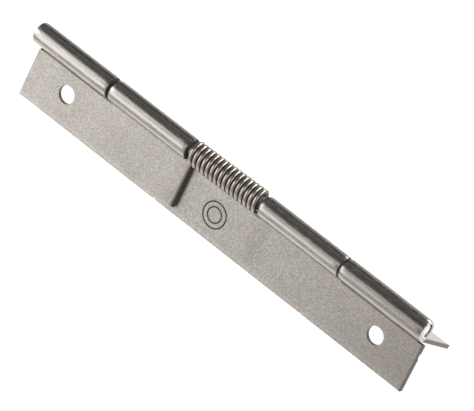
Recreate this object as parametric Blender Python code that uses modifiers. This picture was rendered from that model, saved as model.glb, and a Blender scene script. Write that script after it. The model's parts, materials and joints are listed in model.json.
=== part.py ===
"""Spring hinge strip: two sheet steel leaves rolled round one pin, with a torsion spring on the pin.

X runs along the pin, the door leaf lies on the +Y side and +Z is up. The hinge stands like a tent on
the free edges of its leaves, and the origin is under the middle of the pin. Lengths are in metres.

Each leaf is modelled in a frame of its own at the pin's axis: y runs from the axis to the free edge
and z points out of the face that the knuckles stand on. The frame leaf is the same shape turned half
round, so its stations along X change sign.
"""

import math

import bmesh
import bpy

# Sheet, pin and the angle that the spring holds
LENGTH = 0.150  # the door leaf and its pin
LEAF_WIDTH = 0.02145  # from the pin's axis to the free edge
SHEET = 0.0012
PIN_DIAMETER = 0.0040
OPENING = math.radians(289.4)  # between the knuckle sides of the leaves, with the spring relaxed
OVERTRAVEL = math.radians(7.4)  # further opening until a leaf's back meets the other's notch edge

# Knuckles along the pin: door, frame, spring, frame, door
INNER_KNUCKLE = 0.0304  # length of each of the frame leaf's two knuckles
PLAY_LEFT = 0.00075  # end play, taken up towards the right-hand end
PLAY_RIGHT = 0.0003
INNER_SET_SHIFT = -0.0007  # of the frame leaf's knuckles from the middle of the pin
FRAME_LEAF_SHORTER = 0.0006  # than the door leaf
FRAME_LEAF_SHIFT = 0.0005  # of the frame leaf's outline from the middle of the pin

# Fits and small features
PIN_CLEARANCE = 0.00025  # all round the pin, inside a knuckle
PIN_RECESS = 0.0002  # of each pin end inside its knuckle
PIN_CHAMFER = 0.0003
SEAM_GAP = 0.0003  # between the end of a roll and its own leaf
CORNER_RADIUS = 0.0006  # of the leaves' outer corners
HOLE_DIAMETER = 0.0056
HOLE_TO_END = 0.01445  # from a screw hole's centre to the end of its leaf
HOLE_TO_FREE_EDGE = 0.00925

# Torsion spring
WIRE = 0.0015
FULL_TURNS = 15  # on top of the part turn that the opening gives
COIL_GAP = 0.00012  # between neighbouring turns
COIL_CLEARANCE = 0.0004  # between the pin and the inside of the coil
SPRING_END_GAP = 0.0006  # between the spring and the knuckle on each side of it
COIL_TILT = 0.00025  # how far the legs push each end of the coil off the pin's axis
TILT_DIRECTION = math.radians(26.6)  # of the push at the right-hand end, from +Y towards +Z
LEG_GAP = 0.0001  # between a leg and the leaf that it lies on
LEG_BEND_INSET = 0.0002  # of a leg's bend from the notch edge, towards the pin's axis
LEG_TO_FREE_EDGE = 0.0024

# How finely curves are divided
ROLL_STEPS = 44
HOLE_SIDES = 40
PIN_SIDES = 48
CORNER_STEPS = 4
COIL_STEPS = 20  # in one turn
SHARP_EDGE = math.radians(30)
MERGE = 0.00001

# Worked out from the sizes above
KNUCKLE_RADIUS = PIN_DIAMETER / 2 + PIN_CLEARANCE + SHEET
LEAN = (2 * math.pi - OPENING) / 2  # of each leaf from the vertical
STOP_ANGLE = math.pi / 2 - 2 * LEAN + OVERTRAVEL
NOTCH = KNUCKLE_RADIUS * (1 + math.sin(STOP_ANGLE)) / math.cos(STOP_ANGLE)  # from the axis
AXIS_HEIGHT = LEAF_WIDTH * math.cos(LEAN) + KNUCKLE_RADIUS * math.sin(LEAN)
ROLL_ANGLE = 1.5 * math.pi + math.asin((KNUCKLE_RADIUS - SHEET - SEAM_GAP) / KNUCKLE_RADIUS)
COIL_RADIUS = PIN_DIAMETER / 2 + COIL_CLEARANCE + WIRE / 2  # to the middle of the wire
COIL_PITCH = WIRE + COIL_GAP
LEG_HEIGHT = -(KNUCKLE_RADIUS - SHEET) + LEG_GAP + WIRE / 2  # of a leg's middle in its leaf's frame
LEG_BEND = NOTCH - LEG_BEND_INSET  # of a leg from the axis, where the wire turns up to the coil

# The wire leaves the coil on a tangent that passes through the leg's bend
COIL_RELEASE = math.asin(COIL_RADIUS / math.hypot(LEG_BEND, LEG_HEIGHT)) - math.atan(-LEG_HEIGHT / LEG_BEND)
COIL_SWEEP = 2 * math.pi * FULL_TURNS + math.pi + 2 * LEAN + 2 * COIL_RELEASE
COIL_LENGTH = COIL_PITCH * COIL_SWEEP / (2 * math.pi)  # between the middles of the two legs
SPRING_SPACE = COIL_LENGTH + WIRE + 2 * SPRING_END_GAP

CUTTER_LENGTH = 4 * SHEET  # stands out of the sheet on both sides
DOOR_TURN = (LEAN - math.pi / 2, 0, 0)
FRAME_TURN = (LEAN - math.pi / 2, 0, math.pi)


def layout():
    """Where each knuckle starts and ends along X, from left to right, and the coil's first station."""
    inner_set = 2 * INNER_KNUCKLE + SPRING_SPACE
    outer = (LENGTH - inner_set - PLAY_LEFT - PLAY_RIGHT) / 2
    left_end = -LENGTH / 2
    first = (left_end, left_end + outer + INNER_SET_SHIFT)
    second = (first[1] + PLAY_LEFT, first[1] + PLAY_LEFT + INNER_KNUCKLE)
    third = (second[1] + SPRING_SPACE, second[1] + SPRING_SPACE + INNER_KNUCKLE)
    fourth = (third[1] + PLAY_RIGHT, LENGTH / 2)
    coil_start = second[1] + SPRING_END_GAP + WIRE / 2
    return first, second, third, fourth, coil_start


def clear_scene():
    for thing in list(bpy.data.objects):
        bpy.data.objects.remove(thing, do_unlink=True)


def make_collection(name):
    group = bpy.data.collections.new(name)
    bpy.context.scene.collection.children.link(group)
    return group


def make_material(name, colour, roughness, metallic=1.0):
    material = bpy.data.materials.new(name)
    material.use_nodes = True
    shader = material.node_tree.nodes["Principled BSDF"]
    shader.inputs["Base Color"].default_value = (*colour, 1.0)
    shader.inputs["Roughness"].default_value = roughness
    shader.inputs["Metallic"].default_value = metallic
    return material


def make_object(name, data, group, turn=(0, 0, 0)):
    """An object whose origin lies on the pin's axis."""
    thing = bpy.data.objects.new(name, data)
    thing.location = (0, 0, AXIS_HEIGHT)
    thing.rotation_euler = turn
    group.objects.link(thing)
    return thing


def apply_modifiers(thing):
    """Turns the object into a plain mesh with round faces shaded smooth."""
    graph = bpy.context.evaluated_depsgraph_get()
    mesh = bpy.data.meshes.new_from_object(thing.evaluated_get(graph))
    mesh.shade_smooth()
    mesh.set_sharp_from_angle(angle=SHARP_EDGE)
    mesh.name = thing.name
    thing.modifiers.clear()
    thing.data = mesh


def extrude_edges(bm, edges, offset):
    """Extends the sheet from these edges and returns the new border edges."""
    made = bmesh.ops.extrude_edge_only(bm, edges=edges)["geom"]
    corners = {item for item in made if isinstance(item, bmesh.types.BMVert)}
    bmesh.ops.translate(bm, verts=list(corners), vec=offset)
    return [item for item in made if isinstance(item, bmesh.types.BMEdge) and set(item.verts) <= corners]


def middle_of(edge):
    return (edge.verts[0].co.x + edge.verts[1].co.x) / 2


def sheet_mesh(name, start, end, knuckles):
    """The middle surface of a leaf: a plate, a neck to each knuckle, and the knuckle's roll."""
    stations = sorted({start, end, *(x for knuckle in knuckles for x in knuckle)})
    bm = bmesh.new()
    level = SHEET / 2 - KNUCKLE_RADIUS
    free_corners = [bm.verts.new((x, LEAF_WIDTH, level)) for x in stations]
    free_edges = [bm.edges.new(pair) for pair in zip(free_corners, free_corners[1:])]
    notch_edges = extrude_edges(bm, free_edges, (0, NOTCH - LEAF_WIDTH, 0))
    necks = [
        edge for edge in notch_edges if any(low < middle_of(edge) < high for low, high in knuckles)
    ]
    roots = extrude_edges(bm, necks, (0, -NOTCH, 0))
    bmesh.ops.spin(
        bm, geom=roots, cent=(0, 0, 0), axis=(1, 0, 0), angle=-ROLL_ANGLE, steps=ROLL_STEPS
    )
    outer_corners = [corner for corner in bm.verts if len(corner.link_edges) == 2 and corner.co.y > NOTCH / 2]
    bmesh.ops.bevel(
        bm, geom=outer_corners, offset=CORNER_RADIUS, segments=CORNER_STEPS, profile=0.5, affect="VERTICES"
    )
    bmesh.ops.recalc_face_normals(bm, faces=bm.faces)
    mesh = bpy.data.meshes.new(name)
    bm.to_mesh(mesh)
    bm.free()
    return mesh


def cut_hole(leaf, x, group):
    """A screw hole through the leaf, by a cutter that stands longer than the sheet."""
    bm = bmesh.new()
    bmesh.ops.create_cone(
        bm,
        cap_ends=True,
        segments=HOLE_SIDES,
        radius1=HOLE_DIAMETER / 2,
        radius2=HOLE_DIAMETER / 2,
        depth=CUTTER_LENGTH,
    )
    hole_y = LEAF_WIDTH - HOLE_TO_FREE_EDGE
    bmesh.ops.translate(bm, verts=bm.verts, vec=(x, hole_y, SHEET / 2 - KNUCKLE_RADIUS))
    mesh = bpy.data.meshes.new("screw_hole")
    bm.to_mesh(mesh)
    bm.free()
    cutter = make_object(f"{leaf.name}_hole_cutter", mesh, group, leaf.rotation_euler)
    cutter.hide_render = True
    cutter.display_type = "WIRE"
    cut = leaf.modifiers.new("Screw hole", "BOOLEAN")
    cut.operation = "DIFFERENCE"
    cut.solver = "EXACT"
    cut.object = cutter


def make_leaf(name, start, end, knuckles, turn, material, parts, cutters):
    """One leaf of bent sheet, with its knuckles and two screw holes, between two stations along X."""
    leaf = make_object(name, sheet_mesh(name, start, end, knuckles), parts, turn)
    leaf.data.materials.append(material)
    wall = leaf.modifiers.new("Sheet", "SOLIDIFY")
    wall.thickness = SHEET
    wall.offset = 0
    wall.use_even_offset = True
    cut_hole(leaf, start + HOLE_TO_END, cutters)
    cut_hole(leaf, end - HOLE_TO_END, cutters)
    bpy.context.view_layer.update()
    apply_modifiers(leaf)


def turned_over(stations):
    """Stations of the frame leaf in its own frame, whose x runs the other way."""
    return tuple(sorted(-x for x in stations))


def make_pin(material, group):
    """The pin, a profile turned round Z and laid along X."""
    half = LENGTH / 2 - PIN_RECESS
    radius = PIN_DIAMETER / 2
    profile = [
        (0, half),
        (radius - PIN_CHAMFER, half),
        (radius, half - PIN_CHAMFER),
        (radius, PIN_CHAMFER - half),
        (radius - PIN_CHAMFER, -half),
        (0, -half),
    ]
    mesh = bpy.data.meshes.new("hinge_pin")
    edges = [(i, i + 1) for i in range(len(profile) - 1)]
    mesh.from_pydata([(x, 0, z) for x, z in profile], edges, [])
    mesh.materials.append(material)
    pin = make_object("hinge_pin", mesh, group, (0, math.pi / 2, 0))
    turning = pin.modifiers.new("Turned", "SCREW")
    turning.steps = PIN_SIDES
    turning.render_steps = PIN_SIDES
    turning.use_merge_vertices = True
    turning.merge_threshold = MERGE
    bpy.context.view_layer.update()
    apply_modifiers(pin)


def coil_offset(along):
    """How far the coil's middle stands off the pin's axis, 0 to 1 along the coil."""
    lift = COIL_TILT * (2 * along - 1)
    return lift * math.cos(TILT_DIRECTION), lift * math.sin(TILT_DIRECTION)


def leg_points(side, x):
    """Tip and bend of a leg lying on a leaf: side is -1 for the frame leaf and 1 for the door leaf."""
    points = []
    for reach in (LEAF_WIDTH - LEG_TO_FREE_EDGE, LEG_BEND):
        y = side * (reach * math.sin(LEAN) + LEG_HEIGHT * math.cos(LEAN))
        z = LEG_HEIGHT * math.sin(LEAN) - reach * math.cos(LEAN)
        points.append((x, y, z))
    return points


def coil_points(coil_start):
    """The coil's turns, wound from +Y towards +Z as they go along X."""
    steps = round(COIL_STEPS * COIL_SWEEP / (2 * math.pi))
    points = []
    for step in range(steps + 1):
        along = step / steps
        angle = COIL_SWEEP * along - LEAN - COIL_RELEASE
        shift_y, shift_z = coil_offset(along)
        y = COIL_RADIUS * math.cos(angle) + shift_y
        z = COIL_RADIUS * math.sin(angle) + shift_z
        points.append((coil_start + COIL_LENGTH * along, y, z))
    return points


def make_spring(coil_start, material, group):
    """The torsion spring, one wire: the frame leaf's leg, the coil and the door leaf's leg."""
    frame_leg = leg_points(-1, coil_start)
    door_leg = leg_points(1, coil_start + COIL_LENGTH)
    points = [*frame_leg, *coil_points(coil_start), *reversed(door_leg)]
    curve = bpy.data.curves.new("torsion_spring", "CURVE")
    curve.dimensions = "3D"
    curve.bevel_depth = WIRE / 2
    curve.bevel_resolution = 2
    curve.use_fill_caps = True
    curve.materials.append(material)
    line = curve.splines.new("POLY")
    line.points.add(len(points) - 1)
    for point, place in zip(line.points, points):
        point.co = (*place, 1)
    line.use_smooth = True
    make_object("torsion_spring", curve, group)


def main():
    clear_scene()
    parts = make_collection("spring_hinge_strip")
    cutters = make_collection("cutters")
    leaf_steel = make_material("rolled_sheet_steel", (0.47, 0.45, 0.43), 0.42)
    pin_steel = make_material("drawn_pin_steel", (0.55, 0.54, 0.53), 0.32)
    spring_steel = make_material("spring_wire_steel", (0.52, 0.50, 0.47), 0.30)

    first, second, third, fourth, coil_start = layout()
    make_leaf("door_leaf", first[0], fourth[1], (first, fourth), DOOR_TURN, leaf_steel, parts, cutters)
    frame_half = (LENGTH - FRAME_LEAF_SHORTER) / 2
    frame_ends = turned_over((FRAME_LEAF_SHIFT - frame_half, FRAME_LEAF_SHIFT + frame_half))
    frame_knuckles = (turned_over(third), turned_over(second))
    make_leaf("frame_leaf", *frame_ends, frame_knuckles, FRAME_TURN, leaf_steel, parts, cutters)
    make_pin(pin_steel, parts)
    make_spring(coil_start, spring_steel, parts)


if __name__ == "__main__":
    main()
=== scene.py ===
"""Looks of a spring hinge strip: bent sheet leaves, a drawn pin and a wound spring, in metres.

X runs along the pin, the door leaf lies on the +Y side and the hinge stands on its free edges. Each leaf
is made in a frame of its own at the pin's axis: y runs from the axis to the free edge, and z points out
of the face that the knuckles stand on.
"""

import json
import math

import bmesh
import bpy
from mathutils import Matrix, Vector, noise


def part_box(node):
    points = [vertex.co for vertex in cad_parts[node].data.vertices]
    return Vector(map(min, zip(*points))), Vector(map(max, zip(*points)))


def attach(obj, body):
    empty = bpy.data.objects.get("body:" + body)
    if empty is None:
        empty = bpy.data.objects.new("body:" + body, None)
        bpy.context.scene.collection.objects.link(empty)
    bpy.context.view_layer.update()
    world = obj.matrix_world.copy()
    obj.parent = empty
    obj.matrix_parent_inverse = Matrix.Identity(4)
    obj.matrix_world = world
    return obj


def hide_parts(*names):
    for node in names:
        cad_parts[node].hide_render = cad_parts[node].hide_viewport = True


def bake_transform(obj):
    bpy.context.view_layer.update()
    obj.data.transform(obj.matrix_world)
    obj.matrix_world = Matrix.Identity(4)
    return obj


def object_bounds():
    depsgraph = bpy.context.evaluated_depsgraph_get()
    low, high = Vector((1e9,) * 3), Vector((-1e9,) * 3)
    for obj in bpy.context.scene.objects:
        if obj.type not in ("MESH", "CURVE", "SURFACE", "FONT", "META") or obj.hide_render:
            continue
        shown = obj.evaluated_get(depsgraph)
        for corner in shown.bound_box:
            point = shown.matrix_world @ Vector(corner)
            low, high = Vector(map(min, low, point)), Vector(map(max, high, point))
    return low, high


bl_info = {
    "name": "Spring Hinge Strip",
    "version": (1, 0, 0),
    "blender": (4, 5, 0),
    "location": "3D View > Sidebar > Hinge",
    "description": "Makes the leaves, pin and torsion spring of a spring hinge strip",
    "category": "Object",
}

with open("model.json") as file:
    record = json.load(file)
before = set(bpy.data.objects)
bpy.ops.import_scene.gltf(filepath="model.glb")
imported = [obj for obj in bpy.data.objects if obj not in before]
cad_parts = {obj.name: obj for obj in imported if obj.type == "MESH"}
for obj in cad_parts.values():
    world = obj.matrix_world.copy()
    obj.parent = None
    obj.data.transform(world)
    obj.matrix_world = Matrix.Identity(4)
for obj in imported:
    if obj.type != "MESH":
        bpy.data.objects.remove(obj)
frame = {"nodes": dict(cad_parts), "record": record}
CAD_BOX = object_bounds()
MM = 0.001

# Read off the frame
PIN_LOW, PIN_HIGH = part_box("hinge_pin")
AXIS_HEIGHT = (PIN_LOW.z + PIN_HIGH.z) / 2
PIN_RADIUS = (PIN_HIGH.z - PIN_LOW.z) / 2
KNUCKLE_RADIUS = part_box("door_leaf")[1].z - AXIS_HEIGHT
HALF_LENGTH = CAD_BOX[1].x
BACK_FACE = Vector(next(m["axis"] for m in frame["record"]["mounts"] if m["name"] == "door_leaf_back"))
LEAN = math.atan2(-BACK_FACE.z, -BACK_FACE.y)  # of each leaf from the vertical
LEAF_WIDTH = (AXIS_HEIGHT - KNUCKLE_RADIUS * math.sin(LEAN)) / math.cos(LEAN)


def knuckle_spans(node):
    """Where each knuckle of a leaf starts and ends along X, from the corners that stand above the axis."""
    corners = {round(v.co.x, 5) for v in frame["nodes"][node].data.vertices if v.co.z > AXIS_HEIGHT}
    stations = sorted(corners)
    return list(zip(stations[::2], stations[1::2]))


def leaf_turn(side):
    """From a leaf's own frame to the hinge's: side is -1 for the frame leaf and 1 for the door leaf."""
    facing = Matrix.Rotation(math.pi if side < 0 else 0, 4, "Z")
    return Matrix.Translation((0, 0, AXIS_HEIGHT)) @ facing @ Matrix.Rotation(LEAN - math.pi / 2, 4, "X")


class LeafSizes(bpy.types.PropertyGroup):
    """Sizes of the two leaves."""

    sheet: bpy.props.FloatProperty(
        name="Sheet", description="Thickness of the sheet", default=1.2 * MM, unit="LENGTH"
    )
    notch: bpy.props.FloatProperty(
        name="Notch", description="From the axis to the notches' edge", default=5.6 * MM, unit="LENGTH"
    )
    seam: bpy.props.FloatProperty(
        name="Seam", description="Gap between the end of a roll and its leaf", default=0.3 * MM, unit="LENGTH"
    )
    corner: bpy.props.FloatProperty(
        name="Corner", description="Radius of the outer corners", default=0.25 * MM, unit="LENGTH"
    )
    hole: bpy.props.FloatProperty(
        name="Screw Hole", description="Diameter of the screw holes", default=5.6 * MM, unit="LENGTH"
    )
    hole_to_end: bpy.props.FloatProperty(
        name="Hole to End", description="From a hole to the leaf's end", default=14.45 * MM, unit="LENGTH"
    )
    hole_to_edge: bpy.props.FloatProperty(
        name="Hole to Edge", description="From a hole to the free edge", default=9.25 * MM, unit="LENGTH"
    )
    rim: bpy.props.FloatProperty(
        name="Knuckle Rim", description="Rounding of a knuckle's outer rims", default=0.75 * MM, unit="LENGTH"
    )
    edge: bpy.props.FloatProperty(
        name="Edge", description="Rounding of the sheared edges", default=0.2 * MM, unit="LENGTH"
    )
    flare: bpy.props.FloatProperty(
        name="Flare", description="How far a knuckle's ends are drawn in", default=0.22 * MM, unit="LENGTH"
    )
    flare_length: bpy.props.FloatProperty(
        name="Flare Length", description="Of the part that is drawn in", default=1.8 * MM, unit="LENGTH"
    )
    waviness: bpy.props.FloatProperty(
        name="Waviness", description="How far the rolled sheet wanders", default=0.025 * MM, unit="LENGTH"
    )
    mark: bpy.props.FloatProperty(
        name="Mark", description="Radius of the stamped outer ring", default=4.0 * MM, unit="LENGTH"
    )


class SpringSizes(bpy.types.PropertyGroup):
    """Sizes of the torsion spring."""

    wire: bpy.props.FloatProperty(
        name="Wire", description="Diameter of the wire", default=1.5 * MM, unit="LENGTH"
    )
    turns: bpy.props.IntProperty(name="Turns", description="Full turns of the coil", default=15, min=2)
    clearance: bpy.props.FloatProperty(
        name="Clearance", description="Between the pin and the coil", default=0.4 * MM, unit="LENGTH"
    )
    tilt: bpy.props.FloatProperty(
        name="Tilt", description="How far the coil's ends are off the axis", default=0.2 * MM, unit="LENGTH"
    )
    tilt_direction: bpy.props.FloatProperty(
        name="Tilt Direction", description="At the door end", default=math.radians(26.6), unit="ROTATION"
    )
    leg_gap: bpy.props.FloatProperty(
        name="Leg Gap", description="Between a leg and its leaf", default=0.1 * MM, unit="LENGTH"
    )
    leg_to_edge: bpy.props.FloatProperty(
        name="Leg to Edge", description="From a leg's tip to the free edge", default=2.4 * MM, unit="LENGTH"
    )
    bend: bpy.props.FloatProperty(
        name="Bend", description="Radius of each leg's bend", default=2.5 * MM, unit="LENGTH"
    )


class Finishes(bpy.types.PropertyGroup):
    """Colours of the steels."""

    sheet_warm: bpy.props.FloatVectorProperty(
        name="Warm Sheet", description="Warm patches", subtype="COLOR", default=(0.59, 0.54, 0.495)
    )
    sheet_cool: bpy.props.FloatVectorProperty(
        name="Cool Sheet", description="Cool patches", subtype="COLOR", default=(0.56, 0.54, 0.495)
    )
    tarnish: bpy.props.FloatVectorProperty(
        name="Tarnish", description="Browner steel at one end", subtype="COLOR", default=(0.36, 0.31, 0.27)
    )
    sheared: bpy.props.FloatVectorProperty(
        name="Sheared Edge", description="Bright cut edges", subtype="COLOR", default=(0.90, 0.87, 0.83)
    )
    scale: bpy.props.FloatVectorProperty(
        name="Scale", description="Specks of mill scale", subtype="COLOR", default=(0.20, 0.185, 0.165)
    )
    wire: bpy.props.FloatVectorProperty(
        name="Wire", description="Clean spring wire", subtype="COLOR", default=(0.53, 0.48, 0.415)
    )
    # also the colour of painted shade at the gaps, in the holes, between the coils and on the legs' shaded
    # sides
    grime_and_shade: bpy.props.FloatVectorProperty(
        name="Grime", description="Oil between the coils", subtype="COLOR", default=(0.10, 0.080, 0.062)
    )
    pin: bpy.props.FloatVectorProperty(
        name="Pin", description="Drawn pin steel", subtype="COLOR", default=(0.66, 0.65, 0.63)
    )
    floor: bpy.props.FloatVectorProperty(
        name="Floor", description="Pale floor", subtype="COLOR", default=(0.93, 0.93, 0.93)
    )


class StageSizes(bpy.types.PropertyGroup):
    """Camera and light."""

    azimuth: bpy.props.FloatProperty(
        name="Azimuth", description="From -Y towards +X", default=math.radians(43.44), unit="ROTATION"
    )
    elevation: bpy.props.FloatProperty(
        name="Elevation", description="Above the floor", default=math.radians(55.27), unit="ROTATION"
    )
    distance: bpy.props.FloatProperty(
        name="Distance", description="From the camera to the hinge", default=1.3765, unit="LENGTH"
    )
    lens: bpy.props.FloatProperty(name="Lens", description="Focal length in millimetres", default=371.1)
    light: bpy.props.FloatProperty(name="Light", description="Brightness of the studio", default=1.0, min=0)


class HingeStrip(bpy.types.PropertyGroup):
    """All that a user of the hinge strip would change."""

    leaf: bpy.props.PointerProperty(type=LeafSizes)
    spring: bpy.props.PointerProperty(type=SpringSizes)
    finish: bpy.props.PointerProperty(type=Finishes)
    stage: bpy.props.PointerProperty(type=StageSizes)


# Nodes


class Value:
    """An output socket. An expression on it adds the Math nodes that work it out."""

    def __init__(self, nodes, socket):
        self.nodes = nodes
        self.socket = socket

    def math(self, operation, *others, swap=False):
        operands = [*others, self] if swap else [self, *others]
        return self.nodes.add("ShaderNodeMath", {"operation": operation}, dict(enumerate(operands)))

    def __add__(self, other):
        return self.math("ADD", other)

    def __sub__(self, other):
        return self.math("SUBTRACT", other)

    def __rsub__(self, other):
        return self.math("SUBTRACT", other, swap=True)

    def __mul__(self, other):
        return self.math("MULTIPLY", other)

    def __truediv__(self, other):
        return self.math("DIVIDE", other)

    def __rtruediv__(self, other):
        return self.math("DIVIDE", other, swap=True)

    def __pow__(self, other):
        return self.math("POWER", other)

    def __abs__(self):
        return self.math("ABSOLUTE")

    __radd__ = __add__
    __rmul__ = __mul__

    def ramp(self, low, high):
        """0 below low, 1 above high and smooth between them; low may be the larger."""
        if low > high:
            return 1 - self.ramp(high, low)
        inputs = {"Value": self, "From Min": low, "From Max": high}
        return self.nodes.add("ShaderNodeMapRange", {"interpolation_type": "SMOOTHSTEP"}, inputs)


class Nodes:
    """Adds nodes to a tree. add() returns one output, by default the first, and keeps the node in last."""

    def __init__(self, tree):
        self.tree = tree
        self.last = None

    def add(self, kind, settings=None, inputs=None, output=0):
        node = self.tree.nodes.new(kind)
        for name, setting in (settings or {}).items():
            if name == "stops":
                self.set_stops(node.color_ramp, setting)
            else:
                setattr(node, name, setting)
        for name, value in (inputs or {}).items():
            if isinstance(value, Value):
                self.tree.links.new(value.socket, node.inputs[name])
            else:
                node.inputs[name].default_value = value
        self.last = node
        return Value(self, node.outputs[output]) if node.outputs else None

    def set_stops(self, color_ramp, stops):
        while len(color_ramp.elements) < len(stops):
            color_ramp.elements.new(1.0)
        for element, (place, level) in zip(color_ramp.elements, stops):
            element.position = place
            element.color = (level, level, level, 1)

    def vector(self, operation, *operands):
        return self.add("ShaderNodeVectorMath", {"operation": operation}, dict(enumerate(operands)))

    def scaled(self, vector, factor):
        """A vector or a colour times a number."""
        return self.add("ShaderNodeVectorMath", {"operation": "SCALE"}, {"Vector": vector, "Scale": factor})

    def mix(self, factor, first, second):
        """A colour between two."""
        inputs = {"Factor": factor, 6: first, 7: second}
        return self.add("ShaderNodeMix", {"data_type": "RGBA"}, inputs, output=2)

    def split(self, vector):
        self.add("ShaderNodeSeparateXYZ", None, {"Vector": vector})
        return [Value(self, self.last.outputs[axis]) for axis in "XYZ"]

    def stretched(self, vector, scale):
        """A vector times one number along each axis, so that a small one draws a pattern out."""
        return self.add("ShaderNodeMapping", None, {"Vector": vector, "Scale": scale})

    def noise(self, vector, size, detail=2.0, roughness=0.5):
        """Noise about 0.5 whose features are size across, in the vector's unit."""
        inputs = {"Vector": vector, "Scale": 1 / size, "Detail": detail, "Roughness": roughness}
        return self.add("ShaderNodeTexNoise", None, inputs)


def new_tree(name, kinds):
    """A Geometry Nodes tree, the identifiers of its inputs, its nodes and the values of its inputs."""
    tree = bpy.data.node_groups.new(name, "GeometryNodeTree")
    identifiers = {}
    for title, (kind, default) in kinds.items():
        socket = tree.interface.new_socket(name=title, in_out="INPUT", socket_type=kind)
        if default is not None:
            socket.default_value = default
        identifiers[title] = socket.identifier
    tree.interface.new_socket(name="Geometry", in_out="OUTPUT", socket_type="NodeSocketGeometry")
    nodes = Nodes(tree)
    nodes.add("NodeGroupInput")
    given = {title: Value(nodes, nodes.last.outputs[title]) for title in kinds}
    return tree, identifiers, nodes, given


# Steels. Lengths in them are in millimetres.


def colour(values):
    return (*values, 1.0)


def new_material(name):
    """A material, its shader, its nodes and the object's coordinates from the pin's axis."""
    material = bpy.data.materials.new(name)
    material.use_nodes = True
    nodes = Nodes(material.node_tree)
    place = nodes.add("ShaderNodeTexCoord", None, None, output="Object")
    inputs = {"Vector": place, "Location": (0, 0, -AXIS_HEIGHT / MM), "Scale": (1 / MM, 1 / MM, 1 / MM)}
    place = nodes.add("ShaderNodeMapping", None, inputs)
    return material, material.node_tree.nodes["Principled BSDF"], nodes, place


def link(nodes, value, shader, name):
    nodes.tree.links.new(value.socket, shader.inputs[name])


def bump(nodes, height, depth, shader):
    """Raises the surface by height times depth, in metres."""
    normal = nodes.add("ShaderNodeBump", None, {"Height": height, "Distance": depth, "Strength": 1.0})
    link(nodes, normal, shader, "Normal")


def from_axis(y, z):
    return (y * y + z * z) ** 0.5


KNUCKLE = KNUCKLE_RADIUS / MM
END = HALF_LENGTH / MM
GAPS = [  # where a knuckle's end faces another knuckle or the spring, with painted shade in the gap
    x / MM
    for node in ("door_leaf", "frame_leaf")
    for span in knuckle_spans(node)
    for x in span
    if abs(x) < HALF_LENGTH - 2 * MM
]
GAP_SHADE = (0.25, 0.45)  # from a gap to where the painted shade thins and to where it ends
LEG_STATION = 14.5  # of each spring leg from the middle, where oil creeps out
TARNISHED = (35, 90)  # between these stations the steel turns browner
FOOT_SHADE_NEAR = (4.4, 4.8)  # from the axis: where the painted shade at each knuckle's foot sets in
FOOT_SHADE_FAR = (5.6, 5.2)  # and where it has faded
FREE_EDGE_HIGHLIGHT = (2.1, 1.3)  # from the free edge: where the painted highlight sets in and where it is brightest


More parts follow.
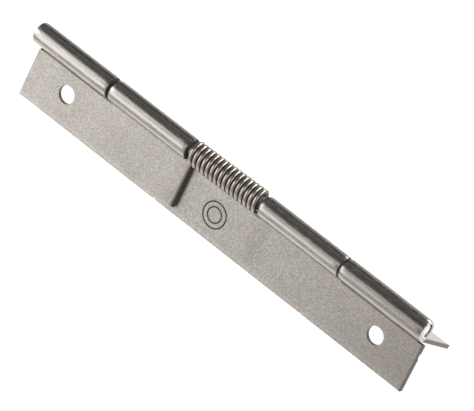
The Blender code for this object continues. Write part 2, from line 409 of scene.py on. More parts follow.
def sheet_steel(finish):
    """Cold rolled sheet: mottled grey with fine grain, specks of scale and burnished knuckles, with painted
    shade at the knuckles' feet and gaps and a painted highlight along the free edge.
    """
    material, shader, nodes, place = new_material("rolled_sheet_steel")
    x, y, z = nodes.split(place)
    reach = abs(y) * math.sin(LEAN) - z * math.cos(LEAN)
    barrel = from_axis(y, z).ramp(KNUCKLE + 0.35, KNUCKLE + 0.1)
    # painted highlight: the sheet is drawn paler in a band along its free edge
    edge = (LEAF_WIDTH / MM - reach).ramp(*FREE_EDGE_HIGHLIGHT)

    patches = nodes.noise(place, 1.8, 3.0, 0.55)
    clouds = nodes.noise(place, 9.0, 2.0)
    grain = nodes.noise(place, 0.55, 3.0, 0.75).ramp(0.25, 0.75)
    specks = nodes.noise(place, 0.42, 1.0).ramp(0.66, 0.74)
    pits = nodes.noise(place, 1.3, 2.0, 0.6).ramp(0.71, 0.76)
    stains = nodes.noise(place, 3.2, 4.0, 0.6).ramp(0.64, 0.76)

    drawn = nodes.stretched(place, (0.12, 1, 1))
    streaks = nodes.noise(drawn, 0.5, 3.0, 0.6)
    scuffs = nodes.noise(drawn, 0.28, 2.0, 0.6).ramp(0.52, 0.68)
    rings = nodes.noise(nodes.stretched(place, (1, 0.15, 0.15)), 0.6, 3.0, 0.6)

    tint = nodes.mix(patches.ramp(0.38, 0.62), colour(finish.sheet_warm), colour(finish.sheet_cool))
    flat_level = 0.50 + grain * 0.70 + clouds * 0.26 + edge * 0.10
    barrel_level = 0.72 + streaks * 0.40 + scuffs * 0.22
    tint = nodes.scaled(tint, flat_level * (1 - barrel) + barrel_level * barrel)
    # painted shade: a dark band on the plate at the foot of each knuckle, where the barrel meets the sheet
    foot_shade = reach.ramp(*FOOT_SHADE_NEAR) * reach.ramp(*FOOT_SHADE_FAR) * (1 - barrel)
    oil = abs(abs(x) - LEG_STATION).ramp(5.0, 1.0) * patches.ramp(0.35, 0.6) * (1 - barrel)
    # specks, pits, stains and oil are real dirt; the band at the knuckles' feet is painted shade, drawn in
    # the scale colour
    dirt_and_shade = (specks * 0.5 + pits * 0.4 + stains * 0.22) * (1 - barrel * 0.7) + foot_shade * 0.35 + oil * 0.16
    tint = nodes.mix(dirt_and_shade, tint, colour(finish.scale))
    # the plate is darker along each end of the leaf, in the grime colour, with a ragged border
    ragged = abs(x) + (grain + clouds) * 0.6
    end_darkening = ragged.ramp(END - 0.3, END + 0.2) * (1 - barrel)
    # painted shade: the knuckles' outsides darken towards each gap, in the grime colour
    clean_and_unshaded = barrel
    for gap in GAPS:
        clean_and_unshaded = clean_and_unshaded * abs(x - gap).ramp(*GAP_SHADE)
    tint = nodes.mix(end_darkening * 0.8 + (barrel - clean_and_unshaded) * 0.9, tint, colour(finish.grime_and_shade))
    tint = nodes.mix((x + clouds * 20).ramp(*TARNISHED) * 0.35, tint, colour(finish.tarnish))

    flat_roughness = 0.38 + grain * 0.16
    barrel_roughness = 0.18 + streaks * 0.12 + scuffs * 0.10 + stains * 0.12
    roughness = flat_roughness * (1 - barrel) + barrel_roughness * barrel
    height = (grain * 0.6 - specks * 0.8) * (1 - barrel) + (streaks * 0.5 + rings * 0.4) * barrel

    link(nodes, tint, shader, "Base Color")
    link(nodes, roughness, shader, "Roughness")
    link(nodes, 1 - dirt_and_shade * 0.4, shader, "Metallic")
    bump(nodes, height, 0.012 * MM, shader)
    return material


def sheared_steel(finish):
    """The sheet's cut edges: torn and bright, but darker at the leaf's ends, with painted shade on the
    knuckles' end faces in the gaps.
    """
    material, shader, nodes, place = new_material("sheared_edge_steel")
    x, y, z = nodes.split(place)
    torn = nodes.noise(place, 0.35, 4.0, 0.65)
    at_end = abs(x).ramp(END - 3.0, END - 2.0)
    barrel = from_axis(y, z).ramp(KNUCKLE + 0.3, KNUCKLE + 0.1)
    # painted shade: the knuckles' end faces at the gaps are drawn dark
    gap = barrel * (1 - at_end)
    clean_and_unshaded = (torn.ramp(0.35, 0.65) * 0.5 + 0.5) * (1 - at_end * (1 - barrel) * 0.9) * (1 - gap)
    tint = nodes.mix(clean_and_unshaded, colour(finish.grime_and_shade), colour(finish.sheared))
    link(nodes, tint, shader, "Base Color")
    link(nodes, 0.40 + torn * 0.25 + gap * 0.3, shader, "Roughness")
    shader.inputs["Metallic"].default_value = 0.15
    bump(nodes, torn, 0.05 * MM, shader)
    return material


def stamped_steel(finish):
    """The inside of a stamped groove, a hole or a nick, painted dark for the shade that falls there, mottled
    between the grime and scale colours.
    """
    material, shader, nodes, place = new_material("stamped_groove_steel")
    recess_mottle = nodes.noise(place, 0.4, 3.0)
    # painted shade: hole walls, nicks and grooves are drawn in dark colours
    tint = nodes.mix(recess_mottle.ramp(0.3, 0.7), colour(finish.grime_and_shade), colour(finish.scale))
    link(nodes, tint, shader, "Base Color")
    link(nodes, 0.45 + recess_mottle * 0.2, shader, "Roughness")
    shader.inputs["Metallic"].default_value = 0.6
    bump(nodes, recess_mottle, 0.02 * MM, shader)
    return material


def spring_steel(finish):
    """Hard drawn wire: fine lines along it, brown oil on the legs, oil and painted shade between the coils,
    and painted shade on each leg's +X side.
    """
    material, shader, nodes, place = new_material("spring_wire_steel")
    along = nodes.add("ShaderNodeAttribute", {"attribute_name": "along"}, None, output="Fac")
    around = nodes.add("ShaderNodeAttribute", {"attribute_name": "around"}, None, output="Vector")
    drawn = nodes.vector("ADD", nodes.add("ShaderNodeCombineXYZ", None, {"X": along / MM * 0.05}), around)
    lines = nodes.noise(drawn, 0.22, 3.0, 0.6)
    patches = nodes.noise(place, 1.1, 3.0)
    _, y, z = nodes.split(place)
    leg = from_axis(y, z).ramp(KNUCKLE + 0.6, KNUCKLE + 1.6)
    sideways, _, _ = nodes.split(nodes.add("ShaderNodeTexCoord", None, None, output="Normal"))
    # oil and painted shade: the wire darkens where it faces along X, between neighbouring coils
    crevice = abs(sideways).ramp(0.42, 0.92) * (0.70 + patches * 0.4)
    # painted shade: each leg is darker on its +X side, away from the light
    oil_and_shade = crevice * (1 - leg) + leg * (0.55 + sideways.ramp(-0.3, 0.4) * 0.4)
    tint = nodes.mix(oil_and_shade, colour(finish.wire), colour(finish.grime_and_shade))
    tint = nodes.mix(patches.ramp(0.55, 0.75) * 0.35, tint, colour(finish.scale))
    link(nodes, tint, shader, "Base Color")
    link(nodes, 0.23 + lines * 0.12 + crevice * 0.12, shader, "Roughness")
    link(nodes, 1 - crevice * 0.3, shader, "Metallic")
    bump(nodes, lines, 0.008 * MM, shader)
    return material


def pin_steel(finish):
    """Drawn bar: lines along it, and the rings that a facing tool leaves on its ends."""
    material, shader, nodes, place = new_material("drawn_pin_steel")
    _, y, z = nodes.split(place)
    drawn = nodes.noise(nodes.stretched(place, (0.04, 1, 1)), 0.15, 3.0, 0.6)
    tool_feed = 0.16
    rings = (from_axis(y, z) * (2 * math.pi / tool_feed)).math("SINE")
    patches = nodes.noise(place, 0.9, 3.0)
    tint = nodes.mix(patches.ramp(0.5, 0.8) * 0.5, colour(finish.pin), colour(finish.scale))
    link(nodes, tint, shader, "Base Color")
    link(nodes, 0.24 + drawn * 0.16, shader, "Roughness")
    shader.inputs["Metallic"].default_value = 1.0
    bump(nodes, drawn + rings * 0.2, 0.006 * MM, shader)
    return material


# Meshes


TOUCHING = 0.01 * MM  # two corners nearer than this count as one
DOUBLED = 0.001 * MM  # and nearer than this they are merged
SHARP_EDGE = math.radians(35)


def link_object(name, data):
    thing = bpy.data.objects.new(name, data)
    bpy.context.scene.collection.objects.link(thing)
    return thing


def take_result(thing):
    """Turns the object into the plain mesh that its modifiers make."""
    bpy.context.view_layer.update()
    graph = bpy.context.evaluated_depsgraph_get()
    mesh = bpy.data.meshes.new_from_object(thing.evaluated_get(graph))
    mesh.name = thing.name
    thing.modifiers.clear()
    thing.data = mesh
    return mesh


def to_mesh(bm, name):
    mesh = bpy.data.meshes.new(name)
    bm.to_mesh(mesh)
    bm.free()
    return mesh


def mend(mesh):
    """Merges doubled corners and turns the faces outwards."""
    bm = bmesh.new()
    bm.from_mesh(mesh)
    bmesh.ops.remove_doubles(bm, verts=bm.verts, dist=DOUBLED)
    bmesh.ops.recalc_face_normals(bm, faces=bm.faces)
    bm.to_mesh(mesh)
    bm.free()


# Leaves


def extrude_edges(bm, edges, offset):
    """Extends the sheet from these edges and returns the new border edges."""
    made = bmesh.ops.extrude_edge_only(bm, edges=edges)["geom"]
    corners = {item for item in made if isinstance(item, bmesh.types.BMVert)}
    bmesh.ops.translate(bm, verts=list(corners), vec=offset)
    return [item for item in made if isinstance(item, bmesh.types.BMEdge) and set(item.verts) <= corners]


ROLL_STEPS = 120
KNUCKLE_STEP = 1.5 * MM  # between the stations along a knuckle
CORNER_STEPS = 6
FLARE_STATIONS = (0.2, 0.4, 0.6, 0.8)  # of the length that a knuckle's end is drawn in over


def roll_angle(sizes):
    """How far a knuckle is rolled, from its neck round to the seam."""
    bore = KNUCKLE_RADIUS - sizes.sheet
    return 1.5 * math.pi + math.asin((bore - sizes.seam) / KNUCKLE_RADIUS)


def middle_surface(name, ends, knuckles, sizes):
    """The middle surface of a leaf: a plate, a neck to each knuckle, and the knuckle's roll."""
    stations = {*ends}
    for low, high in knuckles:
        count = round((high - low) / KNUCKLE_STEP)
        stations.update(low + (high - low) * step / count for step in range(count + 1))
        for share in FLARE_STATIONS:
            stations.update((low + share * sizes.flare_length, high - share * sizes.flare_length))
    bm = bmesh.new()
    level = sizes.sheet / 2 - KNUCKLE_RADIUS
    free_corners = [bm.verts.new((x, LEAF_WIDTH, level)) for x in sorted(stations)]
    free_edges = [bm.edges.new(pair) for pair in zip(free_corners, free_corners[1:])]
    notch_edges = extrude_edges(bm, free_edges, (0, sizes.notch - LEAF_WIDTH, 0))
    necks = []
    for edge in notch_edges:
        middle = (edge.verts[0].co.x + edge.verts[1].co.x) / 2
        if any(low < middle < high for low, high in knuckles):
            necks.append(edge)
    roots = extrude_edges(bm, necks, (0, -sizes.notch, 0))
    bmesh.ops.spin(
        bm, geom=roots, cent=(0, 0, 0), axis=(1, 0, 0), angle=-roll_angle(sizes), steps=ROLL_STEPS
    )
    corners = []
    for corner in bm.verts:
        at_end = min(abs(corner.co.x - end) for end in ends) < TOUCHING
        if at_end and (corner.co.y > LEAF_WIDTH - TOUCHING or len(corner.link_edges) == 2):
            corners.append(corner)
    bmesh.ops.bevel(
        bm, geom=corners, offset=sizes.corner, segments=CORNER_STEPS, profile=0.5, affect="VERTICES"
    )
    bmesh.ops.recalc_face_normals(bm, faces=bm.faces)
    return to_mesh(bm, name)


def cut(leaf, cutter_mesh, material):
    """Cuts the leaf with a cutter in the leaf's own frame, whose faces leave this material behind."""
    cutter_mesh.materials.clear()
    cutter_mesh.materials.append(material)
    cutter = link_object("cutter", cutter_mesh)
    cut_by = leaf.modifiers.new("Cut", "BOOLEAN")
    cut_by.operation = "DIFFERENCE"
    cut_by.solver = "EXACT"
    cut_by.material_mode = "TRANSFER"
    cut_by.object = cutter
    take_result(leaf)
    bpy.data.objects.remove(cutter)


HOLE_SIDES = 72
NICKS = [  # middle along and across the leaf, and radius, of each bite in the frame leaf's outline
    (19.9 * MM, 21.80 * MM, 0.75 * MM),
    (-37.2 * MM, 21.80 * MM, 0.60 * MM),
    (-77.2 * MM, 9.6 * MM, 2.30 * MM),
]


def round_cutter(circles, sizes):
    """A cylinder for each screw hole and each nick, longer than the sheet is thick."""
    bm = bmesh.new()
    for x, y, radius in circles:
        bmesh.ops.create_cone(
            bm,
            cap_ends=True,
            segments=HOLE_SIDES,
            radius1=radius,
            radius2=radius,
            depth=4 * sizes.sheet,
            matrix=Matrix.Translation((x, y, sizes.sheet / 2 - KNUCKLE_RADIUS)),
        )
    return to_mesh(bm, "round_cutter")


RIM_SLACK = 0.05 * MM  # an edge this near to a knuckle's outside is on its rim
EDGE_STEPS = 3


def weigh_edges(mesh, knuckles, sizes):
    """Gives every sharp edge its rounding, and a knuckle's outer rims the largest."""
    bm = bmesh.new()
    bm.from_mesh(mesh)
    bmesh.ops.remove_doubles(bm, verts=bm.verts, dist=DOUBLED)
    weights = bm.edges.layers.float.new("bevel_weight_edge")
    rim_stations = [x for span in knuckles for x in span]
    for edge in bm.edges:
        if len(edge.link_faces) != 2 or edge.calc_face_angle(0) < SHARP_EDGE:
            continue
        a, b = (v.co for v in edge.verts)
        middle = (a + b) / 2
        outside = abs(math.hypot(middle.y, middle.z) - KNUCKLE_RADIUS) < RIM_SLACK
        outer_rim = abs(a.x - b.x) < TOUCHING and outside
        at_end = any(abs(middle.x - x) < TOUCHING for x in rim_stations)
        rolled = middle.z > -KNUCKLE_RADIUS + sizes.sheet
        edge[weights] = 1.0 if outer_rim and at_end and rolled else sizes.edge / sizes.rim
    bm.to_mesh(mesh)
    bm.free()


def round_edges(leaf, knuckles, sizes):
    weigh_edges(leaf.data, knuckles, sizes)
    rounding = leaf.modifiers.new("Rounded", "BEVEL")
    rounding.limit_method = "WEIGHT"
    rounding.width = sizes.rim
    rounding.segments = EDGE_STEPS
    rounding.use_clamp_overlap = True
    take_result(leaf)


FLARE_FADE = math.radians(30)  # at the neck and at the seam
ROLLED = (0.5 * KNUCKLE_RADIUS, 1.03 * KNUCKLE_RADIUS)  # from the axis, where the sheet is part of a roll
WAVE_LENGTH = 7 * MM
WAVE_ROUND = 1.2  # radius of the circle on which the wave noise is read, round a roll
WAVE_SHIFT = -0.6  # so that the sheet wanders mostly inwards


def draw_in(place, knuckles, sizes):
    """How far the outside of a roll lies inside its circle near the knuckle's ends."""
    to_end = min(abs(place.x - x) for span in knuckles for x in span)
    if math.hypot(place.y, place.z) < KNUCKLE_RADIUS - sizes.sheet / 2 or to_end > sizes.flare_length:
        return 0.0
    turned = math.atan2(-place.y, -place.z) % (2 * math.pi)
    faded = max(0.0, min(1.0, turned / FLARE_FADE, (roll_angle(sizes) - turned) / FLARE_FADE))
    return sizes.flare * faded * (1 - to_end / sizes.flare_length) ** 2


def wander(mesh, knuckles, sizes, seed):
    """Draws in the knuckles' ends, and lets the rolls wander a little, as pressed sheet does."""
    for vertex in mesh.vertices:
        place = vertex.co
        far = math.hypot(place.y, place.z)
        in_neck = place.y > 0 and place.z < -KNUCKLE_RADIUS + 1.5 * sizes.sheet
        if in_neck or place.y > sizes.notch / 2 or not ROLLED[0] <= far <= ROLLED[1]:
            continue
        angle = math.atan2(place.z, place.y)
        round_y, round_z = WAVE_ROUND * math.cos(angle), WAVE_ROUND * math.sin(angle)
        wave = noise.noise(Vector((place.x / WAVE_LENGTH, round_y, round_z + seed))) + WAVE_SHIFT
        shift = sizes.waviness * wave - draw_in(place, knuckles, sizes)
        vertex.co.y += shift * place.y / far
        vertex.co.z += shift * place.z / far


def make_leaf(name, body, side):
    """One leaf: bent sheet, screw holes, rounded edges and, on the frame leaf, nicks and a stamped mark."""
    sizes = bpy.context.scene.hinge_strip.leaf
    stamped = side < 0
    low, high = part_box(name)
    ends = sorted((round(side * low.x, 5), round(side * high.x, 5)))
    knuckles = [tuple(sorted((side * a, side * b))) for a, b in knuckle_spans(name)]
    piece = link_object(name + "_sheet", middle_surface(name + "_sheet", ends, knuckles, sizes))
    for steel in ("rolled_sheet_steel", "sheared_edge_steel", "stamped_groove_steel"):
        piece.data.materials.append(bpy.data.materials[steel])
    wall = piece.modifiers.new("Sheet", "SOLIDIFY")
    wall.thickness = sizes.sheet
    wall.offset = 0
    wall.use_even_offset = True
    wall.material_offset_rim = 1
    take_result(piece)
    places = (ends[0] + sizes.hole_to_end, ends[1] - sizes.hole_to_end)
    circles = [(x, LEAF_WIDTH - sizes.hole_to_edge, sizes.hole / 2) for x in places]
    if stamped:
        circles += NICKS
    # the dark steel that paints shade into the holes, nicks and grooves
    groove_steel = bpy.data.materials["stamped_groove_steel"]
    cut(piece, round_cutter(circles, sizes), groove_steel)
    round_edges(piece, knuckles, sizes)
    if stamped:
        cut(piece, mark_cutter(sizes), groove_steel)
    wander(piece.data, knuckles, sizes, side)
    piece.data.shade_smooth()
    weighted = piece.modifiers.new("Weighted", "WEIGHTED_NORMAL")
    weighted.keep_sharp = True
    weighted.weight = 100
    take_result(piece)
    piece.data.transform(leaf_turn(side))
    piece.data.update()
    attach(piece, body)
    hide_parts(name)


# The stamped mark


RING_SIDES = 96
GROOVE_SIDES = 12
GROOVE_RADIUS = 0.25 * MM
GROOVE_SINK = 0.04 * MM  # of the groove's centre below the face
MARK_AT = Vector((0.3 * MM, 13.4 * MM))  # in the leaf's own frame


def mark_tree():
    """Nodes that make rings, each smaller than the last, as closed bars to cut grooves with."""
    kinds = {
        "Radius": ("NodeSocketFloat", 4.0 * MM),
        "Groove": ("NodeSocketFloat", GROOVE_RADIUS),
        "Rings": ("NodeSocketInt", 2),
        "Steel": ("NodeSocketMaterial", None),
    }
    tree, identifiers, nodes, given = new_tree("Stamped Mark", kinds)
    circle = "GeometryNodeCurvePrimitiveCircle"
    section = nodes.add(circle, None, {"Resolution": GROOVE_SIDES, "Radius": given["Groove"]})
    ring = nodes.add(circle, None, {"Resolution": RING_SIDES, "Radius": given["Radius"]})
    line = {"Count": given["Rings"], "Offset": (0, 0, 0)}
    middles = nodes.add("GeometryNodeMeshLine", {"mode": "OFFSET"}, line)
    size = 1 - nodes.add("GeometryNodeInputIndex") / given["Rings"] * 0.8
    copies = {"Points": middles, "Instance": ring, "Scale": size}
    rings = nodes.add("GeometryNodeInstanceOnPoints", None, copies)
    rings = nodes.add("GeometryNodeRealizeInstances", None, {"Geometry": rings})
    bars = nodes.add("GeometryNodeCurveToMesh", None, {"Curve": rings, "Profile Curve": section})
    bars = nodes.add("GeometryNodeSetMaterial", None, {"Geometry": bars, "Material": given["Steel"]})
    nodes.add("NodeGroupOutput", None, {"Geometry": bars})
    return tree, identifiers


def mark_cutter(sizes):
    """The mark's bars, half sunk in the face that the knuckles stand on."""
    tree, identifiers = mark_tree()
    thing = link_object("mark_bars", bpy.data.meshes.new("mark_bars"))
    make = thing.modifiers.new("Mark", "NODES")
    make.node_group = tree
    make[identifiers["Radius"]] = sizes.mark
    make[identifiers["Steel"]] = bpy.data.materials["stamped_groove_steel"]
    mesh = take_result(thing)
    bpy.data.objects.remove(thing)
    level = sizes.sheet - KNUCKLE_RADIUS - GROOVE_SINK
    mesh.transform(Matrix.Translation((*MARK_AT, level)))
    mend(mesh)
    return mesh


# Pin


PIN_SIDES = 96
PIN_CHAMFER = 0.3 * MM
CHAMFER_STEPS = 6
PIN_DOME = 0.08 * MM  # of each end's middle above its rim


def make_pin():
    """The pin, a profile with softened chamfers and faintly domed ends, turned round X."""
    shoulder = [(PIN_RADIUS - PIN_CHAMFER, PIN_DOME)]
    for step in range(1, CHAMFER_STEPS):
        angle = math.pi / 2 * step / CHAMFER_STEPS
        outward = PIN_RADIUS - PIN_CHAMFER * (1 - math.sin(angle))
        shoulder.append((outward, PIN_DOME + PIN_CHAMFER * (1 - math.cos(angle))))
    shoulder.append((PIN_RADIUS, PIN_DOME + PIN_CHAMFER))
    profile = [(0.0, 0.0), (0.5 * PIN_RADIUS, 0.2 * PIN_DOME), *shoulder]
    points = [(PIN_LOW.x + inset, out) for out, inset in profile]
    points += [(PIN_HIGH.x - inset, out) for out, inset in reversed(profile)]
    bm = bmesh.new()
    corners = [bm.verts.new((x, 0, out)) for x, out in points]
    edges = [bm.edges.new(pair) for pair in zip(corners, corners[1:])]
    bmesh.ops.spin(
        bm, geom=edges, cent=(0, 0, 0), axis=(1, 0, 0), angle=2 * math.pi, steps=PIN_SIDES, use_merge=True
    )
    mesh = to_mesh(bm, "pin_bar")
    mend(mesh)
    mesh.transform(Matrix.Translation((0, 0, AXIS_HEIGHT)))
    mesh.shade_smooth()
    mesh.materials.append(bpy.data.materials["drawn_pin_steel"])
    piece = link_object("pin_bar", mesh)
    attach(piece, "door")
    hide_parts("hinge_pin")


# Spring


COIL_STEPS = 72  # in one turn
WIRE_SIDES = 24
BEND_STEPS = 10
BEND_INSET = 0.2 * MM  # of a leg's bend from the notch's edge towards the axis


def spring_layout(sizes):
    """The spring's angles and stations, and each leg's tip and bend, from the frame and the sizes."""
    leaf = bpy.context.scene.hinge_strip.leaf
    low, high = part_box("torsion_spring")
    start = low.x + sizes.wire / 2
    length = high.x - low.x - sizes.wire
    radius = PIN_RADIUS + sizes.clearance + sizes.wire / 2
    leg_level = leaf.sheet - KNUCKLE_RADIUS + sizes.leg_gap + sizes.wire / 2
    bend = leaf.notch - BEND_INSET
    release = math.asin(radius / math.hypot(bend, leg_level)) - math.atan(-leg_level / bend)
    sweep = 2 * math.pi * sizes.turns + math.pi + 2 * LEAN + 2 * release
    legs = []
    for side, x in ((-1, start), (1, start + length)):
        for reach in (LEAF_WIDTH - sizes.leg_to_edge, bend):
            y = side * (reach * math.sin(LEAN) + leg_level * math.cos(LEAN))
            z = leg_level * math.sin(LEAN) - reach * math.cos(LEAN) + AXIS_HEIGHT
            legs.append(Vector((x, y, z)))
    return start, length, radius, sweep, -LEAN - release, legs


def spring_tree():
    """Nodes that lay a line of points along leg, coil and leg, round its bends and sweep the wire."""
    kinds = {
        "Start": ("NodeSocketFloat", 0.0),
        "Length": ("NodeSocketFloat", 0.026),
        "Coil Radius": ("NodeSocketFloat", 0.00315),
        "Sweep": ("NodeSocketFloat", 100.0),
        "First Angle": ("NodeSocketFloat", 0.0),
        "Axis Height": ("NodeSocketFloat", 0.02),
        "Tilt": ("NodeSocketVector", (0.0, 0.0, 0.0)),
        "Steps": ("NodeSocketInt", 1000),
        "Wire Radius": ("NodeSocketFloat", 0.00075),
        "Bend Radius": ("NodeSocketFloat", 0.002),
        "Frame Tip": ("NodeSocketVector", (0.0, 0.0, 0.0)),
        "Frame Bend": ("NodeSocketVector", (0.0, 0.0, 0.0)),
        "Door Tip": ("NodeSocketVector", (0.0, 0.0, 0.0)),
        "Door Bend": ("NodeSocketVector", (0.0, 0.0, 0.0)),
        "Steel": ("NodeSocketMaterial", None),
    }
    tree, identifiers, nodes, given = new_tree("Torsion Spring", kinds)
    steps = given["Steps"]
    index = nodes.add("GeometryNodeInputIndex")
    share = (index - 2) / steps
    angle = given["First Angle"] + given["Sweep"] * share
    helix = {
        "X": given["Start"] + given["Length"] * share,
        "Y": angle.math("COSINE") * given["Coil Radius"],
        "Z": angle.math("SINE") * given["Coil Radius"] + given["Axis Height"],
    }
    turning = nodes.add("ShaderNodeCombineXYZ", None, helix)
    place = nodes.vector("ADD", turning, nodes.scaled(given["Tilt"], share * 2 - 1))
    last = steps + 4
    for number, name in ((0, "Frame Tip"), (1, "Frame Bend"), (last - 1, "Door Bend"), (last, "Door Tip")):
        choice = {"Switch": index.math("COMPARE", number, 0.5), "False": place, "True": given[name]}
        place = nodes.add("GeometryNodeSwitch", {"input_type": "VECTOR"}, choice)
    line = nodes.add("GeometryNodeMeshLine", {"mode": "OFFSET"}, {"Count": steps + 5})
    line = nodes.add("GeometryNodeSetPosition", None, {"Geometry": line, "Position": place})
    path = nodes.add("GeometryNodeMeshToCurve", None, {"Mesh": line})
    at_bend = index.math("COMPARE", 1, 0.5) + index.math("COMPARE", last - 1, 0.5)
    bend = at_bend * given["Bend Radius"]
    rounding = {"Curve": path, "Radius": bend, "Limit Radius": True, "Count": BEND_STEPS}
    path = nodes.add("GeometryNodeFilletCurve", {"mode": "POLY"}, rounding)
    along = nodes.add("GeometryNodeSplineParameter", output="Length")
    store = "GeometryNodeStoreNamedAttribute"
    path = nodes.add(store, {"data_type": "FLOAT"}, {"Geometry": path, "Name": "along", "Value": along})
    circle = {"Resolution": WIRE_SIDES, "Radius": given["Wire Radius"]}
    section = nodes.add("GeometryNodeCurvePrimitiveCircle", None, circle)
    outward = nodes.scaled(nodes.add("GeometryNodeInputPosition"), 1 / given["Wire Radius"])
    around = {"Geometry": section, "Name": "around", "Value": outward}
    section = nodes.add(store, {"data_type": "FLOAT_VECTOR"}, around)
    sweep = {"Curve": path, "Profile Curve": section, "Fill Caps": True}
    wire = nodes.add("GeometryNodeCurveToMesh", None, sweep)
    wire = nodes.add("GeometryNodeRealizeInstances", None, {"Geometry": wire})
    wire = nodes.add("GeometryNodeSetMaterial", None, {"Geometry": wire, "Material": given["Steel"]})
    nodes.add("NodeGroupOutput", None, {"Geometry": wire})
    return tree, identifiers


def make_spring():
    """The torsion spring, whose coil winds between the leg on the frame leaf and the leg on the door leaf."""
    sizes = bpy.context.scene.hinge_strip.spring
    start, length, radius, sweep, first_angle, legs = spring_layout(sizes)
    tilt = Vector((0, math.cos(sizes.tilt_direction), math.sin(sizes.tilt_direction))) * sizes.tilt
    tree, identifiers = spring_tree()
    piece = link_object("spring_wire", bpy.data.meshes.new("spring_wire"))
    wind = piece.modifiers.new("Wind", "NODES")
    wind.node_group = tree
    settings = {
        "Start": start,
        "Length": length,
        "Coil Radius": radius,
        "Sweep": sweep,
        "First Angle": first_angle,
        "Axis Height": AXIS_HEIGHT,
        "Tilt": tilt,
        "Steps": round(COIL_STEPS * sweep / (2 * math.pi)),
        "Wire Radius": sizes.wire / 2,
        "Bend Radius": sizes.bend,
        "Frame Tip": legs[0],
        "Frame Bend": legs[1],
        "Door Tip": legs[2],
        "Door Bend": legs[3],
        "Steel": bpy.data.materials["spring_wire_steel"],
    }
    for name, value in settings.items():
        wind[identifiers[name]] = value
    mesh = take_result(piece)
    mend(mesh)
    mesh.shade_smooth()
    mesh.set_sharp_from_angle(angle=SHARP_EDGE)
    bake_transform(piece)
    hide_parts("torsion_spring")


# Stage


FLOOR_RADIUS = 4.5
FLOOR_SIDES = 64
FLOOR_GAP = 0.05 * MM  # below the hinge
FLOOR_GLOW = 0.78
FLAT_SHARE = 0.5  # of the floor's radius
BACKDROP_RISE = 3.0
BACKDROP_STEPS = 12


def floor_material(shade):
    """Pale matt card, which glows so that no deep shadow falls on it, and is clear from beneath."""
    material = bpy.data.materials.new("pale_floor")
    material.use_nodes = True
    shader = material.node_tree.nodes["Principled BSDF"]
    nodes = Nodes(material.node_tree)
    place = nodes.add("ShaderNodeTexCoord", None, None, output="Object")
    fibres = nodes.noise(place, 2 * MM, 2.0)
    link(nodes, nodes.mix(fibres, colour(shade), (1, 1, 1, 1)), shader, "Base Color")
    shader.inputs["Roughness"].default_value = 0.9
    shader.inputs["Specular IOR Level"].default_value = 0.0
    shader.inputs["Emission Color"].default_value = (1, 1, 1, 1)
    shader.inputs["Emission Strength"].default_value = FLOOR_GLOW
    beneath = nodes.add("ShaderNodeNewGeometry", None, None, output="Backfacing")
    lit = Value(nodes, shader.outputs[0])
    clear = nodes.add("ShaderNodeBsdfTransparent")
    card = nodes.add("ShaderNodeMixShader", None, {"Fac": beneath, 1: lit, 2: clear})
    link(nodes, card, material.node_tree.nodes["Material Output"], "Surface")
    return material


def make_floor():
    """A round floor that curves up into a backdrop all round."""
    bm = bmesh.new()
    profile = [(0.0, 0.0), (FLAT_SHARE * FLOOR_RADIUS, 0.0)]
    for step in range(1, BACKDROP_STEPS + 1):
        angle = math.pi / 2 * step / BACKDROP_STEPS
        out = FLOOR_RADIUS * (FLAT_SHARE + (1 - FLAT_SHARE) * math.sin(angle))
        profile.append((out, BACKDROP_RISE * (1 - math.cos(angle))))
    corners = [bm.verts.new((out, 0, up)) for out, up in profile]
    edges = [bm.edges.new(pair) for pair in zip(corners, corners[1:])]
    bmesh.ops.spin(bm, geom=edges, axis=(0, 0, 1), angle=2 * math.pi, steps=FLOOR_SIDES, use_merge=True)
    bmesh.ops.remove_doubles(bm, verts=bm.verts, dist=MM)
    bmesh.ops.recalc_face_normals(bm, faces=bm.faces)
    if bm.faces[0].normal.z < 0:
        bmesh.ops.reverse_faces(bm, faces=bm.faces)
    mesh = to_mesh(bm, "floor")
    mesh.transform(Matrix.Translation((0, 0, CAD_BOX[0].z - FLOOR_GAP)))
    mesh.shade_smooth()
    mesh.materials.append(floor_material(bpy.context.scene.hinge_strip.finish.floor))
    floor = link_object("floor", mesh)
    floor.visible_glossy = False
    floor.visible_diffuse = False


AIM_FROM_AXIS = Vector((5.83 * MM, -3.11 * MM, -4.35 * MM))


def make_camera():
    stage = bpy.context.scene.hinge_strip.stage
    flat = math.cos(stage.elevation)
    aside, forward = math.sin(stage.azimuth) * flat, -math.cos(stage.azimuth) * flat
    back = Vector((aside, forward, math.sin(stage.elevation)))
    camera = link_object("camera", bpy.data.cameras.new("camera"))
    camera.data.lens = stage.lens
    camera.data.sensor_width = 36
    camera.data.clip_start = 0.01
    camera.data.clip_end = 50
    camera.location = Vector((0, 0, AXIS_HEIGHT)) + AIM_FROM_AXIS + back * stage.distance
    camera.rotation_mode = "QUATERNION"
    camera.rotation_quaternion = (-back).to_track_quat("-Z", "Y")
    bpy.context.scene.camera = camera


PANELS = [  # name, middle, width and height, power in watts
    ("left_front_large", (-0.30, -0.42, 0.16), (0.35, 0.25), 0.285),
    ("left_front_high", (-0.22, -0.30, 0.30), (0.30, 0.30), 0.075),
    ("left_front_near", (-0.20, -0.12, 0.20), (0.15, 0.15), 0.045),
    ("left_far", (-0.50, -0.25, 0.28), (0.30, 0.30), 0.50),
    ("front_top", (0.00, -0.28, 0.42), (0.20, 0.15), 0.04),
    ("left_front_low", (-0.25, -0.20, 0.03), (0.20, 0.10), 0.033),
    ("left_top", (-0.50, 0.00, 0.35), (0.25, 0.25), 0.046),
    ("front_low", (-0.10, -0.35, 0.06), (0.30, 0.12), 0.025),
    ("right_side", (0.35, 0.10, 0.10), (0.30, 0.30), 0.055),
    ("right_top", (0.38, -0.05, 0.40), (0.25, 0.25), 0.49),
    ("right_back", (0.25, 0.35, 0.35), (0.25, 0.25), 0.75),
    ("back_low", (0.12, 0.42, 0.12), (0.30, 0.15), 0.89),
]
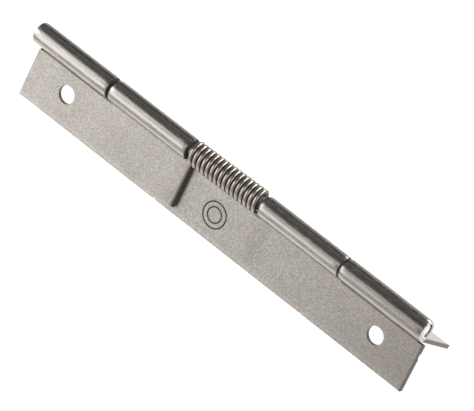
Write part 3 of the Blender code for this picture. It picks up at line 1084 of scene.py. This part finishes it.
PANELS_FACE = Vector((0, 0, 10 * MM))  # the point that every panel is turned to


def make_panel_light(name, at, size, power):
    """A soft box that faces the hinge."""
    light = bpy.data.lights.new(name, "AREA")
    light.shape = "RECTANGLE"
    light.size, light.size_y = size
    light.energy = power * bpy.context.scene.hinge_strip.stage.light
    thing = link_object(name, light)
    thing.location = at
    thing.rotation_mode = "QUATERNION"
    thing.rotation_quaternion = (PANELS_FACE - Vector(at)).to_track_quat("-Z", "Y")
    thing.visible_camera = False


STUDIO = [  # turn about the pin from overhead, in degrees and positive towards -Y, and brightness there
    (-180, 0.48),
    (-130, 0.86),
    (-90, 0.45),
    (-60, 0.0),
    (-38, 0.18),
    (-18, 0.10),
    (-4, 0.12),
    (8, 0.07),
    (22, 0.12),
    (40, 0.39),
    (62, 0.40),
    (85, 0.25),
    (110, 0.71),
    (140, 0.17),
    (180, 0.48),
]
TABLE = (-0.42, -0.62)  # how far down, of 1, the pale table starts and fully shows
TABLE_LEVEL = 1.2


def make_surroundings():
    """The studio round the hinge: dark cards and pale ones in bands along the pin, and a pale table."""
    world = bpy.data.worlds.new("studio")
    world.use_nodes = True
    bpy.context.scene.world = world
    nodes = Nodes(world.node_tree)
    direction = nodes.add("ShaderNodeTexCoord", None, None, output="Generated")
    _, y, z = nodes.split(direction)
    turned = (y * -1).math("ARCTAN2", z) / (2 * math.pi) + 0.5
    stops = [(degrees / 360 + 0.5, level) for degrees, level in STUDIO]
    bands = nodes.add("ShaderNodeValToRGB", {"stops": stops}, {"Fac": turned})
    table = z.ramp(*TABLE)
    total = bands * (1 - table) + table * (TABLE_LEVEL + y.ramp(0.25, 0.6) * 0.9)
    background = world.node_tree.nodes["Background"]
    link(nodes, total, background, "Color")
    background.inputs["Strength"].default_value = bpy.context.scene.hinge_strip.stage.light


# Operators: one for the steels, one for each kind of piece and one for the stage


class HINGE_OT_finishes(bpy.types.Operator):
    """Make the steels"""

    bl_idname = "hinge.finishes"
    bl_label = "Steels"

    def execute(self, context):
        finish = context.scene.hinge_strip.finish
        for make in (sheet_steel, sheared_steel, stamped_steel, spring_steel, pin_steel):
            make(finish)
        return {"FINISHED"}


class HINGE_OT_leaves(bpy.types.Operator):
    """Make the frame leaf and the door leaf"""

    bl_idname = "hinge.leaves"
    bl_label = "Leaves"

    def execute(self, context):
        make_leaf("frame_leaf", "frame", -1)
        make_leaf("door_leaf", "door", 1)
        return {"FINISHED"}


class HINGE_OT_pin(bpy.types.Operator):
    """Make the pin"""

    bl_idname = "hinge.pin"
    bl_label = "Pin"

    def execute(self, context):
        make_pin()
        return {"FINISHED"}


class HINGE_OT_spring(bpy.types.Operator):
    """Make the torsion spring"""

    bl_idname = "hinge.spring"
    bl_label = "Spring"

    def execute(self, context):
        make_spring()
        return {"FINISHED"}


class HINGE_OT_stage(bpy.types.Operator):
    """Make the floor, the light and the camera"""

    bl_idname = "hinge.stage"
    bl_label = "Stage"

    def execute(self, context):
        context.scene.view_settings.view_transform = "Standard"
        make_floor()
        make_surroundings()
        for panel in PANELS:
            make_panel_light(*panel)
        make_camera()
        return {"FINISHED"}


class HINGE_PT_panel(bpy.types.Panel):
    """Lists what makes the hinge strip, and its sizes"""

    bl_idname = "HINGE_PT_panel"
    bl_label = "Spring Hinge Strip"
    bl_space_type = "VIEW_3D"
    bl_region_type = "UI"
    bl_category = "Hinge"

    def draw(self, context):
        for operator in OPERATORS:
            self.layout.operator(operator.bl_idname)
        strip = context.scene.hinge_strip
        for group in (strip.leaf, strip.spring, strip.finish, strip.stage):
            box = self.layout.box()
            for name in group.__annotations__:
                box.prop(group, name)


OPERATORS = (HINGE_OT_finishes, HINGE_OT_stage, HINGE_OT_leaves, HINGE_OT_pin, HINGE_OT_spring)
CLASSES = (LeafSizes, SpringSizes, Finishes, StageSizes, HingeStrip, *OPERATORS, HINGE_PT_panel)


def register():
    for cls in CLASSES:
        bpy.utils.register_class(cls)
    bpy.types.Scene.hinge_strip = bpy.props.PointerProperty(type=HingeStrip)


def unregister():
    del bpy.types.Scene.hinge_strip
    for cls in reversed(CLASSES):
        bpy.utils.unregister_class(cls)


def main():
    register()
    bpy.ops.hinge.finishes()
    bpy.ops.hinge.stage()
    bpy.ops.hinge.leaves()
    bpy.ops.hinge.pin()
    bpy.ops.hinge.spring()


if __name__ == "__main__":
    main()
